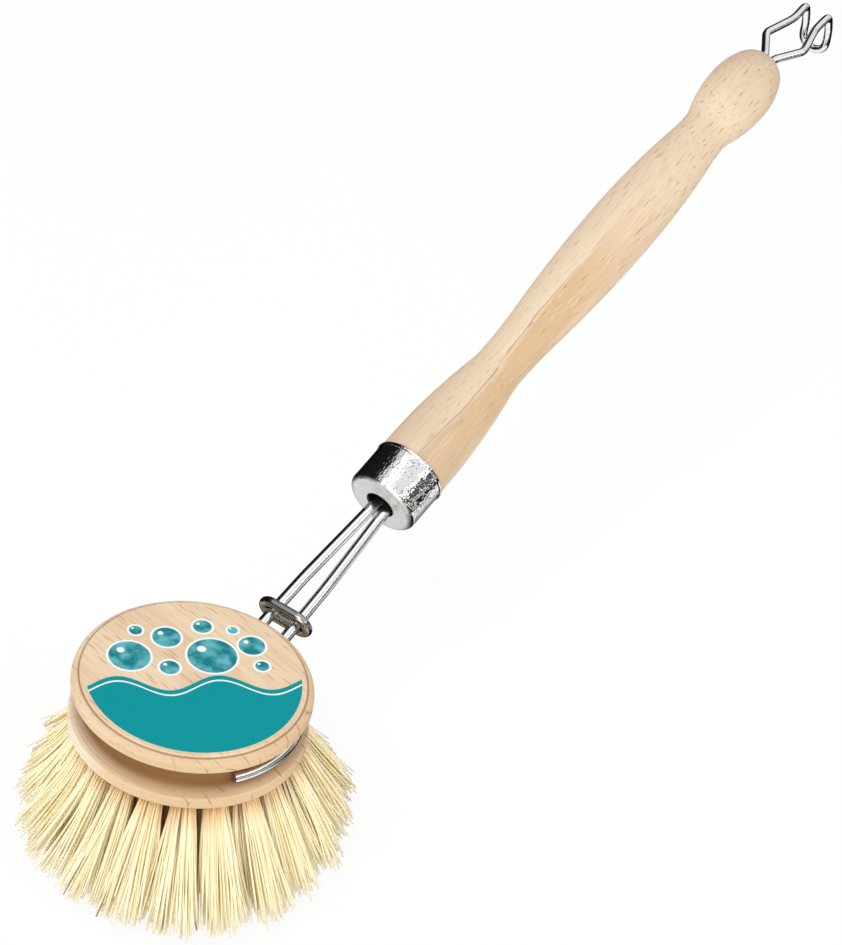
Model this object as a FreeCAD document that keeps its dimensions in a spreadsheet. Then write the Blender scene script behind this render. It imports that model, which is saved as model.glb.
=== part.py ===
"""Dish brush: a round bristle head, changed by opening a sprung wire fork, on a turned beech handle.

Millimetres and degrees. The origin is the centre of the head's flat top. +Z points up out of that
face and +X runs towards the handle, which rises away from the head.
"""
import FreeCAD
import Part
import Sketcher
import math
import os
from types import SimpleNamespace

SIZES = {
    # Head block: radii, and depths below the flat top
    "flat_radius": 23.4,
    "flat_round": 0.35,
    "quirk_depth": 0.5,
    "quirk_width": 0.25,
    "rim_radius": 25.0,
    "rim_round": 1.45,
    "shoulder_depth": 1.9,
    "flange_depth": 3.2,
    "groove_root_radius": 21.35,
    "groove_level": 7.4,
    "groove_land": 2.7,
    "groove_sweep": 6.0,
    "foot_radius": 24.9,
    "foot_edge_depth": 10.5,
    "head_height": 13.4,
    "foot_round": 0.6,
    # Tufts and the holes that they are set in
    "tuft_radius": 2.1,
    "tuft_tip_radius": 5.0,
    "tuft_length": 28.8,
    "tuft_dome": 0.8,
    "tuft_straight": 1.6,
    "tuft_fit": 0.05,
    "hole_depth": 7.5,
    "outer_ring_radius": 20.0,
    "outer_ring_lean": 27.5,
    "outer_ring_count": 20,
    "middle_ring_radius": 13.3,
    "middle_ring_lean": 18.0,
    "middle_ring_count": 13,
    "inner_ring_radius": 6.7,
    "inner_ring_lean": 9.0,
    "inner_ring_count": 6,
    "anchor_thickness": 0.4,
    "anchor_height": 1.6,
    "fold_height": 1.2,
    # Fork wire: half spacings are from the middle plane to the centre of the wire
    "wire_radius": 1.25,
    "seat_gap": 0.05,
    "clamp_reach": 119.5,
    "clamp_run": 2.8,
    "fork_end_half": 3.2,
    "fork_bend_half": 2.75,
    "fork_bend_at": 24.5,
    "fork_bend_run": 2.0,
    "fork_root_half": 1.32,
    "fork_root_drop": 1.0,
    "spring_gap": 0.45,
    "hinge_depth": 1.6,
    "loop_depth": 9.0,
    "loop_half": 1.98,
    "loop_run": 1.9,
    # Lock ring on the two arms
    "ring_wire_radius": 1.1,
    "ring_rest": 10.2,
    "ring_play": 0.25,
    "ring_fit": 0.12,
    # Handle axis: where it crosses the head's axis, how it rises and where the ferrule starts on it
    "axis_drop": 13.5,
    "handle_rise": 18.0,
    "neck_length": 66.75,
    # Ferrule
    "ferrule_radius": 8.15,
    "ferrule_length": 10.8,
    "ferrule_wall": 0.5,
    "ferrule_corner": 1.5,
    "ferrule_bead": 0.9,
    "ferrule_bead_round": 0.54,
    "bore_radius": 3.45,
    "bore_end_gap": 0.3,
    # Handle: distances from the ferrule's front face, and radii
    "tenon_gap": 0.05,
    "tenon_chamfer": 1.4,
    "grip_radius": 8.0,
    "grip_end": 13.0,
    "waist_at": 43.8,
    "waist_radius": 5.44,
    "waist_front_sweep": 25.0,
    "waist_back_sweep": 150.0,
    "belly_at": 88.5,
    "belly_radius": 7.4,
    "neck_at": 119.8,
    "neck_radius": 5.45,
    "neck_front_sweep": 40.0,
    "neck_back_sweep": 6.6,
    "knob_at": 132.9,
    "knob_radius": 7.5,
    "knob_end": 144.4,
    "knob_nose": 6.4,
    # Cross pin through the fork's loop
    "pin_radius": 0.5,
    "pin_fit": 0.03,
    # Hanging hook: distances beyond the knob's end, half spacings, and drops below the handle's axis
    "hook_wire_radius": 0.9,
    "hook_leg_half": 1.15,
    "hook_depth": 12.0,
    "hook_fit": 0.05,
    "hook_neck_at": 0.8,
    "hook_spread_at": 6.8,
    "hook_spread_half": 5.0,
    "hook_spread_drop": 0.85,
    "hook_waist_at": 14.55,
    "hook_waist_half": 2.85,
    "hook_waist_drop": 2.4,
    "hook_top_at": 19.7,
    "hook_top_half": 3.0,
    "hook_top_drop": 3.0,
    "hook_bulge_at": 19.6,
    "hook_bulge_drop": 8.3,
    "hook_end_at": 17.4,
    "hook_end_drop": 13.6,
    "hook_neck_run": 0.8,
    "hook_spread_run": 1.0,
    "hook_bend_run": 1.6,
    "hook_top_run": 1.3,
    "hook_bulge_run": 2.6,
    "hook_end_run": 2.8,
}

RINGS = ("outer", "middle", "inner")
STRAIGHT = None
POINT_TOLERANCE = 1e-6
VOLUME_TOLERANCE = 1e-3
X_AXIS = FreeCAD.Vector(1, 0, 0)
Y_AXIS = FreeCAD.Vector(0, 1, 0)
Z_AXIS = FreeCAD.Vector(0, 0, 1)


class Size:
    """A size that knows both its number and the sheet expression that gives it."""

    def __init__(self, value, text=None):
        self.value = float(value)
        self.text = text or repr(float(value))

    def joined(self, sign, other, value):
        return Size(value, f"({self.text} {sign} {other.text})")

    def __add__(self, other):
        return self.joined("+", as_size(other), self.value + as_size(other).value)

    def __sub__(self, other):
        return self.joined("-", as_size(other), self.value - as_size(other).value)

    def __mul__(self, other):
        return self.joined("*", as_size(other), self.value * as_size(other).value)

    def __truediv__(self, other):
        return self.joined("/", as_size(other), self.value / as_size(other).value)

    def __neg__(self):
        return Size(-self.value, f"(-1 * {self.text})")

    def root(self):
        return Size(math.sqrt(self.value), f"sqrt({self.text})")

    def cosine(self):
        return Size(math.cos(math.radians(self.value)), f"cos({self.text})")

    def sine(self):
        return Size(math.sin(math.radians(self.value)), f"sin({self.text})")


def as_size(number):
    return number if isinstance(number, Size) else Size(number)


doc = FreeCAD.newDocument("dish_brush")
sheet = doc.addObject("Spreadsheet::Sheet", "Sizes")
for row, (alias, value) in enumerate(SIZES.items(), start=1):
    sheet.set(f"A{row}", alias)
    sheet.set(f"B{row}", str(value))
    sheet.setAlias(f"B{row}", alias)
doc.recompute()

dim = SimpleNamespace(**{alias: Size(value, f"Sizes.{alias}") for alias, value in SIZES.items()})
ZERO = Size(0.0)
pieces = []


# Sizes that follow from the driving ones
clamp_radius = dim.groove_root_radius + dim.seat_gap + dim.wire_radius
tenon_radius = dim.ferrule_radius - dim.ferrule_wall - dim.tenon_gap
tenon_start = dim.ferrule_wall + dim.tenon_gap
hole_radius = dim.tuft_radius + dim.tuft_fit
corner_x = (clamp_radius * clamp_radius + dim.clamp_run * dim.clamp_run
            - dim.fork_end_half * dim.fork_end_half).root()
hinge_reach = dim.neck_length + dim.hinge_depth
hinge_x = hinge_reach * dim.handle_rise.cosine() + dim.fork_root_drop * dim.handle_rise.sine()
hinge_z = (hinge_reach * dim.handle_rise.sine() - dim.axis_drop
           - dim.fork_root_drop * dim.handle_rise.cosine())
neck_span_x = hinge_x - corner_x
neck_span_z = hinge_z + dim.groove_level
neck_run = (neck_span_x * neck_span_x + neck_span_z * neck_span_z).root()
ring_half = (dim.fork_end_half + (dim.fork_bend_half - dim.fork_end_half) * dim.ring_rest
             / (neck_run - dim.fork_bend_at))
ring_end_radius = dim.wire_radius + dim.ring_fit + dim.ring_wire_radius
ring_straight = ring_half + dim.wire_radius + dim.ring_play + dim.ring_wire_radius - ring_end_radius
hook_hole_radius = dim.hook_leg_half + dim.hook_wire_radius + dim.hook_fit
pin_at = dim.loop_depth - dim.wire_radius - dim.pin_fit - dim.pin_radius


def vector(x, y, z):
    """Point or direction from sizes."""
    return FreeCAD.Vector(x.value, y.value, z.value)


def turned(axis, degrees):
    return FreeCAD.Rotation(axis, degrees)


def handle_placement():
    """Frame of the handle: local +Z along its axis from the ferrule's front face, local +X downwards."""
    base = vector(dim.neck_length * dim.handle_rise.cosine(), ZERO,
                  dim.neck_length * dim.handle_rise.sine() - dim.axis_drop)
    return FreeCAD.Placement(base, turned(Y_AXIS, 90.0 - dim.handle_rise.value))


def tuft_placement(ring_radius, lean, azimuth):
    """Frame of a tuft: origin in the mouth of its hole, local +Z along the tuft towards its tips."""
    around = turned(Z_AXIS, azimuth)
    mouth = around.multVec(FreeCAD.Vector(ring_radius, 0, -dim.head_height.value))
    return FreeCAD.Placement(mouth, around * turned(Y_AXIS, 180.0 - lean))


def bind(item, **sizes):
    """Tie properties of an object to sizes on the sheet."""
    for name, size in sizes.items():
        item.setExpression(name, size.text)


def new_body(label):
    body = doc.addObject("PartDesign::Body", label)
    body.Label = label
    return body


def origin_feature(body, role):
    return next(item for item in body.Origin.OriginFeatures if item.Role == role)


def keep(item, label):
    """Add a finished piece to those that are written out."""
    item.Label = label
    pieces.append(item)
    return item


def arc_between(start, end, bend):
    """Arc of radius abs(bend) between two points, turning left where bend is positive."""
    chord = end - start
    side = math.copysign(1.0, bend)
    rise = math.sqrt(bend * bend - chord.Length ** 2 / 4.0)
    left = FreeCAD.Vector(-chord.y, chord.x, 0) * (side / chord.Length)
    centre = start + chord * 0.5 + left * rise
    first, last = (start, end) if side > 0 else (end, start)
    angles = [math.atan2(point.y - centre.y, point.x - centre.x) for point in (first, last)]
    return Part.ArcOfCircle(Part.Circle(centre, Z_AXIS, abs(bend)), *angles)


def outline(body, corners):
    """Draw a closed outline in a sketch, with every corner and arc tied to the sheet.

    A corner is (across, along, bend). The edge that leaves it is straight where bend is STRAIGHT, and
    otherwise an arc of that radius, with a minus sign where the outline is hollow.
    """
    sketch = body.newObject("Sketcher::SketchObject", body.Name + "_outline")
    sketch.AttachmentSupport = [(origin_feature(body, "XZ_Plane"), "")]
    sketch.MapMode = "FlatFace"
    ends = []
    for index, (across, along, bend) in enumerate(corners):
        following = corners[(index + 1) % len(corners)]
        start, end = vector(across, along, ZERO), vector(following[0], following[1], ZERO)
        if bend is STRAIGHT:
            sketch.addGeometry(Part.LineSegment(start, end))
            ends.append((1, 2))
        else:
            sketch.addGeometry(arc_between(start, end, bend.value))
            ends.append((1, 2) if bend.value > 0 else (2, 1))
    for index, (across, along, bend) in enumerate(corners):
        following = (index + 1) % len(corners)
        sketch.addConstraint(Sketcher.Constraint("Coincident", index, ends[index][1],
                                                 following, ends[following][0]))
        tie_corner(sketch, index, ends[index][0], "DistanceX", across, -2)
        tie_corner(sketch, index, ends[index][0], "DistanceY", along, -1)
        if bend is not STRAIGHT:
            number = sketch.addConstraint(Sketcher.Constraint("Radius", index, abs(bend.value)))
            radius = bend if bend.value > 0 else -bend
            sketch.setExpression(f"Constraints[{number}]", radius.text)
    return sketch


def tie_corner(sketch, edge, end, kind, size, axis):
    """Hold one coordinate of a sketch point, on the axis itself where it is nought."""
    if size is ZERO:
        sketch.addConstraint(Sketcher.Constraint("PointOnObject", edge, end, axis))
        return
    number = sketch.addConstraint(Sketcher.Constraint(kind, -1, 1, edge, end, size.value))
    sketch.setExpression(f"Constraints[{number}]", size.text)


def revolve(body, corners):
    """Turn an outline once round the body's Z axis."""
    feature = body.newObject("PartDesign::Revolution", body.Name + "_turned")
    feature.Profile = outline(body, corners)
    feature.ReferenceAxis = (feature.Profile[0], ["V_Axis"])
    feature.Angle = 360.0
    body.Tip = feature
    return feature


def drill(body, name, radius, depth, placement):
    """Cut a round hole whose axis is the placement's Z axis, from its origin to the given depth."""
    hole = body.newObject("PartDesign::SubtractiveCylinder", name)
    bind(hole, Radius=radius, Height=depth)
    hole.Placement = placement
    body.Tip = hole
    return hole


def swing(start, end, tight):
    """Two arcs that swing from a hollow at start to a crest at end, or back, with level ends.

    The hollow's arc has the radius tight. The arcs meet on the straight line between the ends.
    Returns the meeting point and the crest's radius.
    """
    reach, rise = end[1] - start[1], end[0] - start[0]
    both = (reach * reach + rise * rise) / (rise * 2.0)
    share = tight / both
    return (start[0] + rise * share, start[1] + reach * share), both - tight


def bend_arc(before, corner, after, run):
    """Arc that rounds a wire's corner and leaves both straight runs at the distance run from it."""
    back, ahead = (before - corner).normalize(), (after - corner).normalize()
    half = back.getAngle(ahead) / 2.0
    inward = (back + ahead).normalize()
    middle = corner + inward * (run / math.cos(half) - run * math.tan(half))
    return corner + back * run, middle, corner + ahead * run


def wire_path(points, runs):
    """Edges of a bent wire: straight runs between the points, rounded at each inner point."""
    edges, start = [], points[0]
    for before, corner, after, run in zip(points, points[1:], points[2:], runs):
        first, middle, last = bend_arc(before, corner, after, run.value)
        if start.distanceToPoint(first) > POINT_TOLERANCE:
            edges.append(Part.LineSegment(start, first).toShape())
        edges.append(Part.Arc(first, middle, last).toShape())
        start = last
    if start.distanceToPoint(points[-1]) > POINT_TOLERANCE:
        edges.append(Part.LineSegment(start, points[-1]).toShape())
    return edges


def wire_piece(label, edges, radius, placement=None):
    """Round wire of the given radius along a path of lines and tangent arcs."""
    spine = Part.Wire(edges)
    first = edges[0]
    begin = first.FirstParameter
    section = Part.Circle(first.valueAt(begin), first.tangentAt(begin), radius.value)
    solid = spine.makePipeShell([Part.Wire([section.toShape()])], True, False)
    expected = math.pi * radius.value ** 2 * spine.Length
    if abs(solid.Volume / expected - 1.0) > VOLUME_TOLERANCE:
        raise ValueError(f"{label}: the wire's volume doesn't match its length")
    piece = doc.addObject("Part::Feature", label)
    piece.Shape = solid
    if placement:
        piece.Placement = placement
    return keep(piece, label)


def head_block():
    """Turned disc: flat top, quirk and rounded rim, the fork's groove, foot, and drilled tuft holes."""
    body = new_body("head_block")
    half_land = dim.groove_land / 2.0
    revolve(body, [
        (ZERO, -dim.head_height, STRAIGHT),
        (dim.foot_radius - dim.foot_round, -dim.head_height, dim.foot_round),
        (dim.foot_radius, dim.foot_round - dim.head_height, STRAIGHT),
        (dim.foot_radius, -dim.foot_edge_depth - dim.foot_round, dim.foot_round),
        (dim.foot_radius - dim.foot_round, -dim.foot_edge_depth, -dim.groove_sweep),
        (dim.groove_root_radius, -dim.groove_level - half_land, STRAIGHT),
        (dim.groove_root_radius, half_land - dim.groove_level, STRAIGHT),
        (dim.rim_radius, -dim.flange_depth, STRAIGHT),
        (dim.rim_radius, -dim.shoulder_depth, dim.rim_round),
        (dim.flat_radius + dim.quirk_width, -dim.quirk_depth, STRAIGHT),
        (dim.flat_radius, -dim.quirk_depth, STRAIGHT),
        (dim.flat_radius, -dim.flat_round, dim.flat_round),
        (dim.flat_radius - dim.flat_round, ZERO, STRAIGHT),
        (ZERO, ZERO, STRAIGHT),
    ])
    past_mouth = hole_radius * 2.0
    for ring in RINGS + ("centre",):
        radius, lean, count = ring_sizes(ring)
        frame = tuft_placement(radius, lean, 0.0)
        frame.Base = frame.Base - frame.Rotation.multVec(Z_AXIS) * dim.hole_depth.value
        hole = drill(body, f"{ring}_hole", hole_radius, dim.hole_depth + past_mouth, frame)
        if count > 1:
            pattern = body.newObject("PartDesign::PolarPattern", f"{ring}_holes")
            pattern.Originals = [hole]
            pattern.Axis = (origin_feature(body, "Z_Axis"), [""])
            pattern.Angle = 360.0
            pattern.Occurrences = count
            body.Tip = pattern
    keep(body, "head_block")


def ring_sizes(ring):
    """Radius, lean and number of tufts of one ring, where the centre is a ring of one."""
    if ring == "centre":
        return 0.0, 0.0, 1
    return (SIZES[f"{ring}_ring_radius"], SIZES[f"{ring}_ring_lean"], int(SIZES[f"{ring}_ring_count"]))


def tuft(label, placement):
    """Bundle of fibres: its folded root in the hole, slotted for the anchor, then a flare to the tips."""
    body = new_body(label)
    root = dim.hole_depth - dim.tuft_fit
    revolve(body, [
        (ZERO, -root, STRAIGHT),
        (dim.tuft_radius, -root, STRAIGHT),
        (dim.tuft_radius, dim.tuft_straight, STRAIGHT),
        (dim.tuft_tip_radius, dim.tuft_length - dim.tuft_dome, STRAIGHT),
        (ZERO, dim.tuft_length, STRAIGHT),
    ])
    slot = body.newObject("PartDesign::SubtractiveBox", label + "_slot")
    thickness = dim.anchor_thickness + dim.tuft_fit * 2.0
    bind(slot, Length=dim.tuft_radius * 4.0, Width=thickness, Height=dim.anchor_height + dim.tuft_fit * 2.0)
    slot.Placement.Base = vector(-dim.tuft_radius * 2.0, -thickness / 2.0,
                                 dim.fold_height - dim.hole_depth - dim.tuft_fit)
    body.Tip = slot
    body.Placement = placement
    keep(body, label)


def tufts_and_anchors():
    """Every tuft in its own hole, and the flat wire anchors that hold their folds, as one group."""
    anchors = []
    half_thick = dim.anchor_thickness / 2.0
    half_width = (hole_radius * hole_radius - half_thick * half_thick).root() - dim.tuft_fit
    for ring in RINGS + ("centre",):
        radius, lean, count = ring_sizes(ring)
        for index in range(count):
            frame = tuft_placement(radius, lean, 360.0 * index / count)
            label = f"tuft_{ring}_{index + 1:02d}" if count > 1 else "tuft_centre"
            tuft(label, frame)
            anchor = doc.addObject("Part::Box", label.replace("tuft", "anchor"))
            bind(anchor, Length=half_width * 2.0, Width=dim.anchor_thickness, Height=dim.anchor_height)
            corner = vector(-half_width, -half_thick, dim.fold_height - dim.hole_depth)
            anchor.Placement = frame.multiply(FreeCAD.Placement(corner, FreeCAD.Rotation()))
            anchors.append(anchor)
    group = doc.addObject("Part::Compound", "tuft_anchors")
    group.Links = anchors
    keep(group, "tuft_anchors")


def fork_arm(label, side):
    """One sprung arm: out of the ferrule, along the neck, and round the head in its groove."""
    hinge = vector(hinge_x, dim.fork_root_half * side, hinge_z)
    corner = vector(corner_x, dim.fork_end_half * side, -dim.groove_level)
    along = FreeCAD.Vector(corner_x.value - hinge_x.value, 0, corner.z - hinge_z.value).normalize()
    knee = FreeCAD.Vector(hinge_x.value, 0, hinge_z.value) + along * dim.fork_bend_at.value
    knee.y = dim.fork_bend_half.value * side
    start_angle = math.atan2(dim.clamp_run.value, clamp_radius.value)
    start_angle += math.asin(dim.fork_end_half.value / math.hypot(corner.x, corner.y))
    end_angle = math.radians(dim.clamp_reach.value)
    radius = clamp_radius.value
    arc = [FreeCAD.Vector(radius * math.cos(angle), side * radius * math.sin(angle), corner.z)
           for angle in (start_angle, (start_angle + end_angle) / 2.0, end_angle)]
    edges = wire_path([hinge, knee, corner, arc[0]], [dim.fork_bend_run, dim.clamp_run])
    edges.append(Part.Arc(*arc).toShape())
    wire_piece(label, edges, dim.wire_radius)


def fork_loop():
    """Closed end of the fork's wire, inside the handle's bore."""
    start = dim.hinge_depth + dim.spring_gap
    points = [vector(dim.fork_root_drop, half, along) for half, along in (
        (dim.fork_root_half, start), (dim.loop_half, dim.loop_depth),
        (-dim.loop_half, dim.loop_depth), (-dim.fork_root_half, start))]
    edges = wire_path(points, [dim.loop_run, dim.loop_run])
    wire_piece("fork_loop", edges, dim.wire_radius, handle_placement())


def lock_ring():
    """Oval wire ring round both arms, square to the neck."""
    neck = FreeCAD.Vector(neck_span_x.value, 0, neck_span_z.value).normalize()
    base = vector(corner_x, ZERO, -dim.groove_level) + neck * dim.ring_rest.value
    frame = FreeCAD.Placement(base, turned(Y_AXIS, math.degrees(math.atan2(neck.x, neck.z))))
    parts = []
    for side in (1, -1):
        end = doc.addObject("Part::Torus", f"ring_end_{len(parts)}")
        bind(end, Radius1=ring_end_radius, Radius2=dim.ring_wire_radius)
        end.Angle3 = 180.0
        turn = turned(Z_AXIS, 0.0 if side > 0 else 180.0)
        end.Placement = FreeCAD.Placement(vector(ZERO, ring_straight * side, ZERO), turn)
        strand = doc.addObject("Part::Cylinder", f"ring_strand_{len(parts)}")
        bind(strand, Radius=dim.ring_wire_radius, Height=ring_straight * 2.0)
        strand.Placement = FreeCAD.Placement(vector(ring_end_radius * side, -ring_straight, ZERO),
                                             turned(X_AXIS, -90.0))
        parts += [end, strand]
    ring = doc.addObject("Part::MultiFuse", "lock_ring")
    ring.Shapes = parts
    ring.Placement = frame
    keep(ring, "lock_ring")


def ferrule():
    """Drawn cap with a round front corner, a bead at its back edge and a hole for the fork."""
    body = new_body("ferrule")
    inner = dim.ferrule_radius - dim.ferrule_wall
    inner_corner = dim.ferrule_corner - dim.ferrule_wall
    bead_start = dim.ferrule_length - dim.ferrule_bead
    revolve(body, [
        (dim.bore_radius, ZERO, STRAIGHT),
        (dim.ferrule_radius - dim.ferrule_corner, ZERO, dim.ferrule_corner),
        (dim.ferrule_radius, dim.ferrule_corner, STRAIGHT),
        (dim.ferrule_radius, bead_start, dim.ferrule_bead_round),
        (dim.ferrule_radius, dim.ferrule_length, STRAIGHT),
        (inner, dim.ferrule_length, STRAIGHT),
        (inner, dim.ferrule_corner, -inner_corner),
        (inner - inner_corner, dim.ferrule_wall, STRAIGHT),
        (dim.bore_radius, dim.ferrule_wall, STRAIGHT),
    ])
    body.Placement = handle_placement()
    keep(body, "ferrule")


def handle():
    """Turned handle: tenon in the ferrule, grip, waist, belly, neck and knob, with its three holes."""
    body = new_body("handle")
    grip, waist = (dim.grip_radius, dim.grip_end), (dim.waist_radius, dim.waist_at)
    belly, neck = (dim.belly_radius, dim.belly_at), (dim.neck_radius, dim.neck_at)
    knob = (dim.knob_radius, dim.knob_at)
    grip_turn, grip_sweep = swing(waist, grip, dim.waist_front_sweep)
    rise_turn, rise_sweep = swing(waist, belly, dim.waist_back_sweep)
    fall_turn, fall_sweep = swing(neck, belly, dim.neck_front_sweep)
    knob_turn, knob_sweep = swing(neck, knob, dim.neck_back_sweep)
    cap = dim.knob_end - dim.knob_at
    cap_sweep = ((cap * cap + dim.knob_radius * dim.knob_radius - cap * dim.knob_nose * 2.0)
                 / ((dim.knob_radius - dim.knob_nose) * 2.0))
    nose_share = dim.knob_nose / (cap_sweep - dim.knob_nose)
    nose_turn = ((cap_sweep - dim.knob_radius) * nose_share,
                 dim.knob_end - dim.knob_nose + (cap - dim.knob_nose) * nose_share)
    revolve(body, [
        (ZERO, tenon_start, STRAIGHT),
        (tenon_radius - dim.tenon_chamfer, tenon_start, STRAIGHT),
        (tenon_radius, tenon_start + dim.tenon_chamfer, STRAIGHT),
        (tenon_radius, dim.ferrule_length, STRAIGHT),
        (dim.grip_radius, dim.ferrule_length, STRAIGHT),
        (*grip, grip_sweep),
        (*grip_turn, -dim.waist_front_sweep),
        (*waist, -dim.waist_back_sweep),
        (*rise_turn, rise_sweep),
        (*belly, fall_sweep),
        (*fall_turn, -dim.neck_front_sweep),
        (*neck, -dim.neck_back_sweep),
        (*knob_turn, knob_sweep),
        (*knob, cap_sweep),
        (*nose_turn, dim.knob_nose),
        (ZERO, dim.knob_end, STRAIGHT),
    ])
    bore_depth = dim.loop_depth + dim.wire_radius + dim.bore_end_gap
    drill(body, "fork_bore", dim.bore_radius, bore_depth, FreeCAD.Placement())
    hook_start = vector(ZERO, ZERO, dim.knob_end - dim.hook_depth)
    drill(body, "hook_hole", hook_hole_radius, dim.hook_depth * 2.0,
          FreeCAD.Placement(hook_start, FreeCAD.Rotation()))
    drill(body, "pin_hole", dim.pin_radius + dim.pin_fit, tenon_radius * 4.0,
          FreeCAD.Placement(vector(-tenon_radius * 2.0, ZERO, pin_at), turned(Y_AXIS, 90.0)))
    body.Placement = handle_placement()
    keep(body, "handle")


def retaining_pin():
    """Cross pin in the eye of the fork's loop, its ends covered by the ferrule."""
    pin = doc.addObject("Part::Cylinder", "retaining_pin")
    length = (tenon_radius - dim.tenon_gap) * 2.0
    bind(pin, Radius=dim.pin_radius, Height=length)
    across = FreeCAD.Placement(vector(-length / 2.0, ZERO, pin_at), turned(Y_AXIS, 90.0))
    pin.Placement = handle_placement().multiply(across)
    keep(pin, "retaining_pin")


def hook_wire():
    """Hairpin pressed in the knob: legs spread to an eye, then turned down to a closed hook end."""
    half = [
        (ZERO, dim.hook_leg_half, dim.hook_fit - dim.hook_depth),
        (ZERO, dim.hook_leg_half, dim.hook_neck_at),
        (dim.hook_spread_drop, dim.hook_spread_half, dim.hook_spread_at),
        (dim.hook_waist_drop, dim.hook_waist_half, dim.hook_waist_at),
        (dim.hook_top_drop, dim.hook_top_half, dim.hook_top_at),
        (dim.hook_bulge_drop, dim.hook_top_half, dim.hook_bulge_at),
        (dim.hook_end_drop, dim.hook_top_half, dim.hook_end_at),
    ]
    left = [vector(drop, spread, dim.knob_end + along) for drop, spread, along in half]
    right = [FreeCAD.Vector(point.x, -point.y, point.z) for point in reversed(left)]
    bends = [dim.hook_neck_run, dim.hook_spread_run, dim.hook_bend_run,
             dim.hook_top_run, dim.hook_bulge_run, dim.hook_end_run]
    edges = wire_path(left + right, bends + bends[::-1])
    wire_piece("hook_wire", edges, dim.hook_wire_radius, handle_placement())


head_block()
tufts_and_anchors()
fork_arm("left_fork_arm", 1.0)
fork_arm("right_fork_arm", -1.0)
fork_loop()
lock_ring()
ferrule()
handle()
retaining_pin()
hook_wire()
doc.recompute()

for item in doc.Objects:
    if "Invalid" in item.State or "Error" in item.State:
        raise RuntimeError(f"{item.Label} failed: {item.State}")
for piece in pieces:
    if piece.Shape.isNull() or not piece.Shape.isValid() or piece.Shape.Volume <= 0.0:
        raise RuntimeError(f"{piece.Label} has no valid shape")

os.makedirs("parts", exist_ok=True)
for piece in pieces:
    piece.Shape.exportStep(os.path.join("parts", piece.Label + ".step"))
    print(f"{piece.Label}: {len(piece.Shape.Solids)} solid(s), {piece.Shape.Volume:.1f} mm3")
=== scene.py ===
"""Dish brush: looks for a round fibre head in a sprung wire fork on a turned beech handle.

Lengths in the classes are millimetres in the part's own frame: the origin is the centre of the head's flat
top, +Z points up out of it and +X runs towards the handle. Meshes are written in metres.
"""
import logging
import math
from dataclasses import dataclass
from enum import Enum
from typing import Any, Optional, Sequence, Union

import bpy
import numpy as np
from mathutils import Matrix, Vector


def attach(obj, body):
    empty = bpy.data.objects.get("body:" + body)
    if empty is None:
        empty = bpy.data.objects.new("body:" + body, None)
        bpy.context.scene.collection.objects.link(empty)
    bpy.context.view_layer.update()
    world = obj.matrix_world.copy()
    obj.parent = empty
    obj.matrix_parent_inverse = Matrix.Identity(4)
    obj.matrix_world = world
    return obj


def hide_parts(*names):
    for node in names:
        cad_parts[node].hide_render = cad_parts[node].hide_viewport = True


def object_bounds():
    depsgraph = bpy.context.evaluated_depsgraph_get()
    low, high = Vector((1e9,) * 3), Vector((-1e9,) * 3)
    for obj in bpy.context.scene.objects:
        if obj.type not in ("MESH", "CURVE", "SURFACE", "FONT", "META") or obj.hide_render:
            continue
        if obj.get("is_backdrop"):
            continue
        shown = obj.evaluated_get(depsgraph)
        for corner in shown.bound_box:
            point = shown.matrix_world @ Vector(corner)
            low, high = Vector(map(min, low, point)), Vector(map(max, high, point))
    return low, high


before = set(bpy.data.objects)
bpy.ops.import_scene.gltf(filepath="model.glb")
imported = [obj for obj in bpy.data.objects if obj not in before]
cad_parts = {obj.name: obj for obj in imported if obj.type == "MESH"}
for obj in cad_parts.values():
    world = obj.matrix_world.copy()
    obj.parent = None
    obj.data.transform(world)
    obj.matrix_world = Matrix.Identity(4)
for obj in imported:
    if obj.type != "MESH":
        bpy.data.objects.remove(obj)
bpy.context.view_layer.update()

Colour = tuple[float, float, float]
Point = tuple[float, float, float]
Socket = bpy.types.NodeSocket

LOG = logging.getLogger("dish_brush")
MM = 0.001
IMAGE_SIZE = (842, 945)
HEAD_BODY = "head"
TURN = 2.0 * math.pi
GOLDEN_SHARE = 3.0 - math.sqrt(5.0)
ORIGIN: Point = (0.0, 0.0, 0.0)
ONE_MM: Point = (1.0, 1.0, 1.0)
QUAD = [[0, 1, 2, 3]]


class Solid(Enum):
    """Nodes of the part that show as they are."""

    HEAD = "head_block"
    ANCHORS = "tuft_anchors"
    LEFT_ARM = "left_fork_arm"
    RIGHT_ARM = "right_fork_arm"
    LOOP = "fork_loop"
    PIN = "retaining_pin"
    LOCK_RING = "lock_ring"
    FERRULE = "ferrule"
    HANDLE = "handle"
    HOOK = "hook_wire"


class Ring(Enum):
    """Rings of tufts, from the head's edge to its middle."""

    OUTER = "outer"
    MIDDLE = "middle"
    INNER = "inner"
    CENTRE = "centre"


def unit(vector: Sequence[float]) -> np.ndarray:
    """Return the vector at length one."""
    array = np.asarray(vector, float)
    return array / np.linalg.norm(array)


@dataclass(frozen=True)
class Axes:
    """A right-handed frame: an origin in millimetres, its Z axis, and a direction close to its X axis."""

    origin: Point
    along: Point
    across: Point

    def matrix(self) -> np.ndarray:
        """Work out the turn: X is the given direction less its share along Z, and Y is square to both.

        Returns:
            The X, Y and Z axes as the columns of a 3 by 3 array.
        """
        z_axis = unit(self.along)
        x_axis = unit(np.asarray(self.across) - z_axis * np.dot(self.across, z_axis))
        return np.stack([x_axis, np.cross(z_axis, x_axis), z_axis], axis=1)

    def to_part(self, points: np.ndarray) -> np.ndarray:
        """Return points of this frame in the part's frame, both in millimetres."""
        return points @ self.matrix().T + np.asarray(self.origin)

    def euler(self) -> tuple[float, float, float]:
        """Return the frame's turn as the angles that a Mapping node takes."""
        return tuple(Matrix(self.matrix().tolist()).to_euler())


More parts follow.
